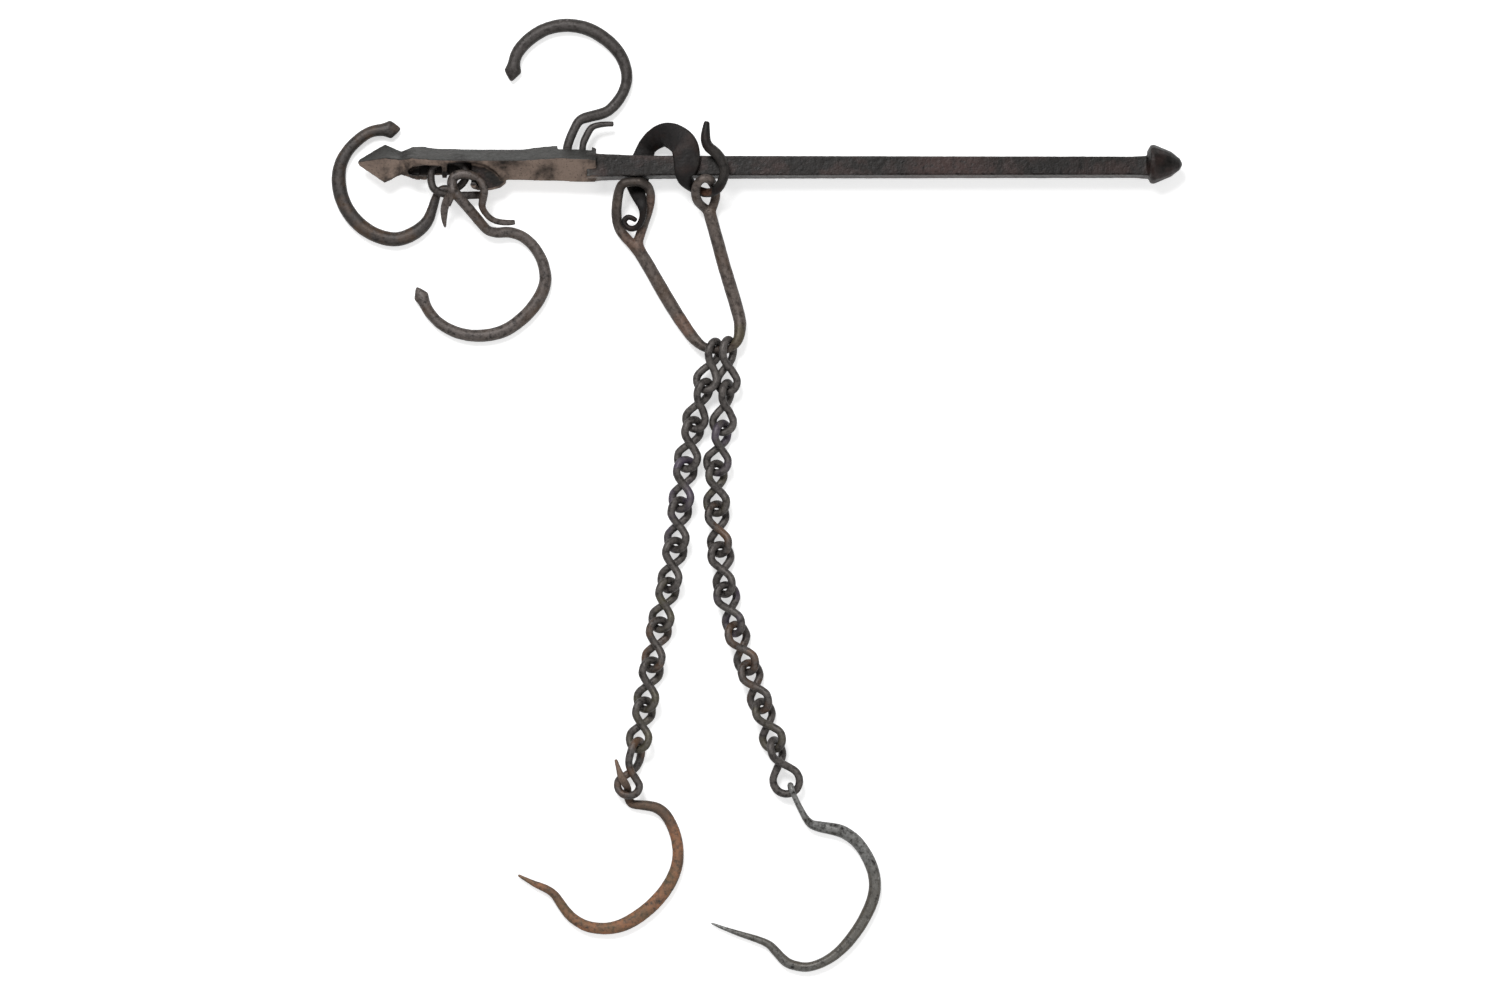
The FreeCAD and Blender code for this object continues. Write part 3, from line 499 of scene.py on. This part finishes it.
def figure_eight(upper_length, lower_length, lower_width, worn):
    """Centre line of a closed link about its middle, along Y, with each eye turned out of plane.

    A worn eye is wider than the solid's, most of all where it closes on the crossing.
    """
    across = Vector((math.cos(LINK_TWIST), 0.0, -math.sin(LINK_TWIST)))
    crown = math.radians(90)
    quarter = []
    for step in range(ARC_STEPS + 1):
        turn = crown + (EYE_END - crown) * step / ARC_STEPS
        aside = across * (EYE_RADIUS * math.cos(turn))
        quarter.append(aside + Vector((0, EYE_OFFSET + EYE_RADIUS * math.sin(turn), 0)))
    leaving = quarter[-1]
    direction = across * -math.sin(EYE_END) + Vector((0, math.cos(EYE_END), 0))
    crossing = Vector((0, 0, STRAND_HEIGHT))
    span = (crossing - leaving).length
    # A smooth bend from the end of the eye to the crossing, true to the direction at both ends.
    for step in range(1, STRAND_STEPS + 1):
        s = step / STRAND_STEPS
        near = leaving * (2 * s ** 3 - 3 * s ** 2 + 1)
        near += direction * (span * (s ** 3 - 2 * s ** 2 + s))
        far = crossing * (3 * s ** 2 - 2 * s ** 3)
        far += CROSSING_DIRECTION * (span * (s ** 3 - s ** 2))
        quarter.append(near + far)
    front = quarter + [Vector((-p.x, -p.y, p.z)) for p in reversed(quarter[:-1])]
    back = [Vector((-p.x, p.y, -p.z)) for p in reversed(front)][1:-1]
    line = []
    for p in front + back:
        share = min(1.0, abs(p.y) / EYE_OFFSET)
        length = upper_length if p.y > 0 else lower_length
        width = 1.0 if p.y > 0 else 1 + (lower_width - 1) * share
        bulge = EYE_BULGE * math.exp(-(((abs(p.y) - BULGE_PLACE) / BULGE_LENGTH) ** 2))
        width *= 1 + worn * ((EYE_WIDTH - 1) * share + bulge)
        line.append(Vector((p.x * width, p.y * (1 + (length - 1) * share), p.z * width)))
    return line


def wire_loop(name, line):
    """Closed round wire bent along a closed line, its points evenly spread round and along it."""
    count = len(line)
    tangents = [(line[(i + 1) % count] - line[i - 1]).normalized() for i in range(count)]
    ups = [tangents[0].orthogonal().normalized()]
    for before, after in zip(tangents, tangents[1:] + tangents[:1]):
        ups.append(before.rotation_difference(after) @ ups[-1])
    home = ups.pop()
    left_over = math.atan2(home.dot(tangents[0].cross(ups[0])), home.dot(ups[0]))
    corners = []
    for i, (middle, along, up) in enumerate(zip(line, tangents, ups)):
        side = along.cross(up)
        for step in range(WIRE_POINTS):
            turn = 2 * math.pi * step / WIRE_POINTS - left_over * i / count
            corners.append(middle + (up * math.cos(turn) + side * math.sin(turn)) * WIRE_RADIUS)
    faces = []
    for i in range(count):
        here, there = i * WIRE_POINTS, (i + 1) % count * WIRE_POINTS
        for step in range(WIRE_POINTS):
            after = (step + 1) % WIRE_POINTS
            faces.append((here + step, here + after, there + after, there + step))
    mesh = bpy.data.meshes.new(name)
    mesh.from_pydata(corners, [], faces)
    return mesh


def forge(node, name, material, mesh, number, swell=0.0, blow_share=1.0, swellings=()):
    """Forged piece in place of a solid of the frame, riding on the body of the same name.

    Its number gives each piece hammer marks of its own.
    """
    work_skin(mesh, node, (3.7 * number, 11.3, 5.1 * number), swell, blow_share, swellings)
    mesh.shade_smooth()
    mesh.materials.clear()
    mesh.materials.append(material)
    piece = bpy.data.objects.new(name, mesh)
    bpy.context.scene.collection.objects.link(piece)
    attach(piece, node)
    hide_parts(node)


def forge_rod(node, name, material, number, swellings=()):
    """Forged rod or strap in place of a solid of the frame."""
    forging = bpy.context.scene.steelyard_forging
    shape = solid_copy(node, True)
    mesh = evenly_meshed(shape, name, forging.rod_grain, forging.rod_rounding, True)
    forge(node, name, material, mesh, number, forging.rod_swell, swellings=swellings)


def beam_faces(tree, colour, coordinates, blotches):
    """Painted grey sheen on the thick arm's upper face, and its brown lower face, up to its step.
    """
    painted_sheen, brown = shades("grey_stain_and_sheen", "bar_brown")
    along = axis_of(tree, coordinates["Object"], "X")
    lean = axis_of(tree, coordinates["Normal"], "Y")
    thick = between(tree, along, at(STEP_RIGHT, 0).x, at(STEP_LEFT, 0).x)
    # Painted sheen: the upper face, which leans towards the north lamp, is painted a paler grey.
    upper = product(tree, product(tree, thick, between(tree, lean, 0.0, 0.2)), 0.8)
    colour = stain(tree, colour, painted_sheen, upper)
    lower = product(tree, thick, between(tree, lean, 0.0, -0.2))
    return stain(tree, colour, brown, product(tree, lower, between(tree, blotches, 0.25, 0.6)))


class STEELYARD_OT_beam(bpy.types.Operator):
    """Forge the beam with its two arms, fulcrum pins, point and knob"""

    bl_idname = "steelyard.beam"
    bl_label = "Beam"

    def execute(self, context):
        forging = context.scene.steelyard_forging
        dark, mid, light, red = shades("bar_dark", "bar_mid", "bar_light", "bar_red")
        spots = (
            (at(950, 176), 30 * MM, red, 0.8),
            (at(1160, 165), 8 * MM, red, 0.6),
            (at(412, 172, 11), 15 * MM, mid, 0.8),
            (at(455, 174, 14), 12 * MM, mid, 0.8),
            (at(500, 178, 8), 9 * MM, mid, 0.7),
        )
        # A hammered bar, almost black, with reddish rust on the thin arm and little left rubbed.
        material = wrought_iron(
            "wrought_iron_bar", dark, mid, light, red, spots,
            rough=0.46, faces=beam_faces, crown=0.0,
        )
        shape = solid_copy("beam", False)
        mesh = evenly_meshed(shape, "beam_bar", forging.bar_grain, forging.bar_rounding, False)
        forge("beam", "beam_bar", material, mesh, 1, blow_share=0.5)
        return {"FINISHED"}


class STEELYARD_OT_fulcrum_hooks(bpy.types.Operator):
    """Forge the three hooks that carry the beam by its fulcrums"""

    bl_idname = "steelyard.fulcrum_hooks"
    bl_label = "Fulcrum hooks"

    def execute(self, context):
        dark, mid, light, rust = shades("hook_dark", "hook_mid", "hook_light", "hook_rust")
        brown, grey = shades("shackle_mid", "grey_stain_and_sheen")
        strip = (at(443, 205), 4 * MM, 0.5 * MM)
        blade = (at(588, 134), 5.5 * MM, 0.6 * MM)
        # Three rods that aged apart: brown with rust, warm and mottled, and grey as if wiped.
        skins = (
            ("hook_a", "brown", mid, rust, 0.75, (strip,)),
            ("hook_b", "mottled", brown, rust, 0.6, ()),
            ("hook_c", "grey", mid, grey, 0.4, (blade,)),
        )
        for number, (node, word, usual, patch, share, swellings) in enumerate(skins, start=2):
            name = "wrought_iron_hook_" + word
            material = wrought_iron(name, dark, usual, light, patch, patch_share=share)
            forge_rod(node, node + "_rod", material, number, swellings)
        return {"FINISHED"}


class STEELYARD_OT_collar(bpy.types.Operator):
    """Forge the strap that slides along the arm and its two horns"""

    bl_idname = "steelyard.collar"
    bl_label = "Sliding collar"

    def execute(self, context):
        dark, mid, light, rust = shades("collar_dark", "collar_mid", "bar_mid", "collar_rust")
        horn, tan = shades("hook_mid", "shackle_tan")
        spots = ((at(716, 165, 21), 14 * MM, horn, 0.9), (at(706, 190, 15), 5 * MM, tan, 0.7))
        # A strap beaten flat: black and dull, with thin dull red rust in broad patches.
        material = wrought_iron(
            "wrought_iron_strap", dark, mid, light, rust, spots, patch_share=0.7, rough=0.55,
        )
        curl = (at(631, 222, 9), 9 * MM, 0.55 * MM)
        tip = (at(706, 128, 20), 6 * MM, 0.7 * MM)
        forge_rod("collar", "collar_strap", material, 5, (curl, tip))
        return {"FINISHED"}


class STEELYARD_OT_shackle(bpy.types.Operator):
    """Forge the bent rod that hangs from the collar's horns"""

    bl_idname = "steelyard.shackle"
    bl_label = "Shackle"

    def execute(self, context):
        dark, mid, light = shades("shackle_dark", "shackle_mid", "shackle_light")
        tan, olive, rust = shades("shackle_tan", "shackle_olive", "hook_rust")
        soot, black = shades("chain_dark", "collar_dark")
        spots = (
            (at(634, 240), 9 * MM, tan, 0.45),
            (at(650, 205), 8 * MM, tan, 0.4),
            (at(684, 325), 8 * MM, tan, 0.55),
            (at(737, 338), 9 * MM, olive, 0.9),
            (at(714, 348), 8 * MM, soot, 0.9),
            (at(633, 186, 15), 10 * MM, black, 0.9),
            (at(620, 215, 7), 8 * MM, soot, 0.7),
        )
        # A bent rod in warm brown, tan with rust on its legs, olive and sooty at its lower bend.
        material = wrought_iron("wrought_iron_shackle", dark, mid, light, rust, spots)
        forge_rod("v_shackle", "shackle_rod", material, 6)
        return {"FINISHED"}


def chain_skins():
    """The four skins that the links wear, by their stain; both chains share them."""
    dark, mid, light = shades("chain_dark", "chain_mid", "chain_light")
    olive, plum, brown = shades("chain_olive", "chain_plum", "chain_brown")
    # Wire closed by hand: painted shade on its flanks, painted highlight on its crowns, over a
    # stain.
    skins = {}
    for word, patch, share in (
        ("grey", light, 0.25), ("olive", olive, 0.8), ("plum", plum, 0.8), ("brown", brown, 0.8),
    ):
        name = "wrought_iron_wire_" + word
        found = bpy.data.materials.get(name)
        skins[word] = found or wrought_iron(name, dark, mid, light, patch, patch_share=share)
    return skins


def hanging_line(side, index):
    """Centre line of a link in the frame, between the joints it hangs from and carries."""
    joints = frame["joints"]
    places = [joint["pos_m"] for joint in joints if joint["name"].startswith("link_" + side)]
    places += [joint["pos_m"] for joint in joints if joint["name"] == LAST_JOINT[side]]
    top, foot = Vector(places[index]), Vector(places[index + 1])
    upper, lower, width = LINK_SIZES.get((side, index), (1.0, 1.0, 1.0))
    half = EYE_OFFSET + EYE_RADIUS
    below = half * lower if index == LINKS_PER_CHAIN - 1 else half - HELD_LENGTH
    axis = (top - foot).normalized()
    level = axis.cross(UP).normalized()
    face = level.cross(axis)
    roll = math.radians(LINK_ROLLS[side][index])
    across = level * math.cos(roll) - face * math.sin(roll)
    outward = face * math.cos(roll) + level * math.sin(roll)
    middle = foot + axis * below
    line = figure_eight(upper, lower, width, 0.0 if index < CROWDED_LINKS else 1.0)
    return [middle + across * p.x + axis * p.y + outward * p.z for p in line]


def forge_chain(side, stains, first_number):
    """Forge one chain from the top link down, each link in its own stain."""
    swell = bpy.context.scene.steelyard_forging.wire_swell
    skins = chain_skins()
    for index in range(LINKS_PER_CHAIN):
        node = f"link_{side}{index + 1}"
        name = node + "_wire"
        mesh = wire_loop(name, hanging_line(side, index))
        forge(node, name, skins[stains[index]], mesh, first_number + index, swell)


class STEELYARD_OT_left_chain(bpy.types.Operator):
    """Forge the eleven links of the left chain"""

    bl_idname = "steelyard.left_chain"
    bl_label = "Left chain"

    def execute(self, context):
        stains = "grey grey grey plum plum grey olive brown olive olive brown".split()
        forge_chain("l", stains, 10)
        return {"FINISHED"}


class STEELYARD_OT_right_chain(bpy.types.Operator):
    """Forge the eleven links of the right chain"""

    bl_idname = "steelyard.right_chain"
    bl_label = "Right chain"

    def execute(self, context):
        stains = "grey grey plum olive brown grey plum brown brown olive grey".split()
        forge_chain("r", stains, 30)
        return {"FINISHED"}


class STEELYARD_OT_load_hooks(bpy.types.Operator):
    """Forge the two pointed hooks that take the load"""

    bl_idname = "steelyard.load_hooks"
    bl_label = "Load hooks"

    def execute(self, context):
        dark, mid, light = shades("rust_dark", "rust_mid", "rust_light")
        olive, pale = shades("chain_olive", "shackle_light")
        spots = (
            (at(642, 806), 22 * MM, dark, 1.0),
            (at(691, 866), 9 * MM, dark, 0.8),
            (at(676, 902), 6 * MM, dark, 0.6),
            (at(621, 774), 13 * MM, pale, 0.9),
            (at(560, 888), 12 * MM, dark, 0.6),
        )
        # Rusted: matt orange-brown, with dark islands where the old skin still holds.
        rusted = wrought_iron(
            "wrought_iron_rusted", dark, mid, light, olive, spots,
            patch_share=0.55, rough=0.62, metallic=0.2,
        )
        forge_rod("load_hook_left", "load_hook_left_rod", rusted, 7)
        dark, mid, light, foot = shades("bar_mid", "grey_mid", "grey_light", "grey_dark")
        spots = (
            (at(840, 925), 34 * MM, foot, 0.9),
            (at(872, 890), 18 * MM, foot, 0.6),
            (at(770, 930), 26 * MM, foot, 0.7),
        )
        # Scoured: a smoother, colder grey with a little sheen, olive-brown towards its foot.
        grey = wrought_iron(
            "wrought_iron_scoured", dark, mid, light, foot, spots, patch_share=0.3, rough=0.44,
        )
        forge_rod("load_hook_right", "load_hook_right_rod", grey, 8)
        return {"FINISHED"}


def larger(tree, first, second):
    """The larger of two values."""
    node = add(tree, "ShaderNodeMath", None, {0: first, 1: second}, operation="MAXIMUM")
    return node.outputs[0]


def pale_floor(size):
    """Matt pale board, painted: white to the camera and in reflections, with soft shadows on it."""
    material, tree = blank_material("matt_pale_board")
    rays = add(tree, "ShaderNodeLightPath").outputs
    seen = larger(tree, rays["Is Camera Ray"], rays["Is Glossy Ray"])
    seen = larger(tree, seen, rays["Is Transmission Ray"])
    board = add(tree, "ShaderNodeBsdfDiffuse", {"Color": shades("floor")[0]})
    strength = product(tree, seen, TABLE_GLOW)
    glow = add(tree, "ShaderNodeEmission", {"Color": WHITE}, {"Strength": strength})
    both = add(tree, "ShaderNodeAddShader", None, {0: board.outputs[0], 1: glow.outputs[0]})
    add(tree, "ShaderNodeOutputMaterial", None, {"Surface": both.outputs[0]})
    work = bmesh.new()
    bmesh.ops.create_grid(work, x_segments=1, y_segments=1, size=size / 2)
    mesh = bpy.data.meshes.new("table_top")
    work.to_mesh(mesh)
    work.free()
    mesh.materials.append(material)
    floor = bpy.data.objects.new("table_top", mesh)
    floor.location.z = -TABLE_DROP
    bpy.context.scene.collection.objects.link(floor)


def soft_lamp(name, place, size, power):
    """Square soft lamp that faces the middle of the table."""
    data = bpy.data.lights.new(name, "AREA")
    data.shape = "SQUARE"
    data.size = size
    data.energy = power
    lamp = bpy.data.objects.new(name, data)
    lamp.location = place
    lamp.rotation_euler = (-Vector(place)).to_track_quat("-Z", "Y").to_euler()
    bpy.context.scene.collection.objects.link(lamp)


class STEELYARD_OT_stage(bpy.types.Operator):
    """Lay the pale table, hang the soft lamps and set the camera straight above"""

    bl_idname = "steelyard.stage"
    bl_label = "Table, lamps and camera"

    def execute(self, context):
        scene = context.scene
        pale_floor(TABLE_SIZE)
        for lamp in LAMPS:
            soft_lamp(*lamp)
        world = bpy.data.worlds.new("pale_room")
        world.use_nodes = True
        background = world.node_tree.nodes["Background"]
        background.inputs["Color"].default_value = WHITE
        background.inputs["Strength"].default_value = ROOM_LIGHT
        scene.world = world
        scene.view_settings.view_transform = "Standard"
        data = bpy.data.cameras.new("camera_above")
        data.lens = data.sensor_width * CAMERA_HEIGHT / (PHOTO_WIDTH * PHOTO_SCALE)
        data.clip_end = 10 * CAMERA_HEIGHT
        camera = bpy.data.objects.new("camera_above", data)
        camera.location = at(PHOTO_WIDTH / 2, PHOTO_HEIGHT / 2, CAMERA_HEIGHT / MM)
        scene.collection.objects.link(camera)
        scene.camera = camera
        return {"FINISHED"}


OPERATORS = (
    STEELYARD_OT_beam,
    STEELYARD_OT_fulcrum_hooks,
    STEELYARD_OT_collar,
    STEELYARD_OT_shackle,
    STEELYARD_OT_left_chain,
    STEELYARD_OT_right_chain,
    STEELYARD_OT_load_hooks,
    STEELYARD_OT_stage,
)


class STEELYARD_PT_panel(bpy.types.Panel):
    """Lists the steelyard's pieces, sizes and colours"""

    bl_idname = "STEELYARD_PT_panel"
    bl_label = "Forged steelyard"
    bl_space_type = "VIEW_3D"
    bl_region_type = "UI"
    bl_category = "Steelyard"

    def draw(self, context):
        column = self.layout.column(align=True)
        for operator in OPERATORS:
            column.operator(operator.bl_idname)
        for group in (context.scene.steelyard_forging, context.scene.steelyard_colours):
            box = self.layout.box()
            for name in group.bl_rna.properties.keys():
                if name not in ("rna_type", "name"):
                    box.prop(group, name)


CLASSES = (SteelyardForging, SteelyardColours, *OPERATORS, STEELYARD_PT_panel)


def register():
    """Adds the classes and the two groups of settings."""
    for cls in CLASSES:
        bpy.utils.register_class(cls)
    bpy.types.Scene.steelyard_forging = PointerProperty(type=SteelyardForging)
    bpy.types.Scene.steelyard_colours = PointerProperty(type=SteelyardColours)


def unregister():
    """Takes the two groups of settings and the classes away again."""
    del bpy.types.Scene.steelyard_colours
    del bpy.types.Scene.steelyard_forging
    for cls in reversed(CLASSES):
        bpy.utils.unregister_class(cls)


def main():
    """Register the settings, then build every piece and the stage."""
    register()
    for operator in OPERATORS:
        group, name = operator.bl_idname.split(".")
        getattr(getattr(bpy.ops, group), name)()


if __name__ == "__main__":
    main()
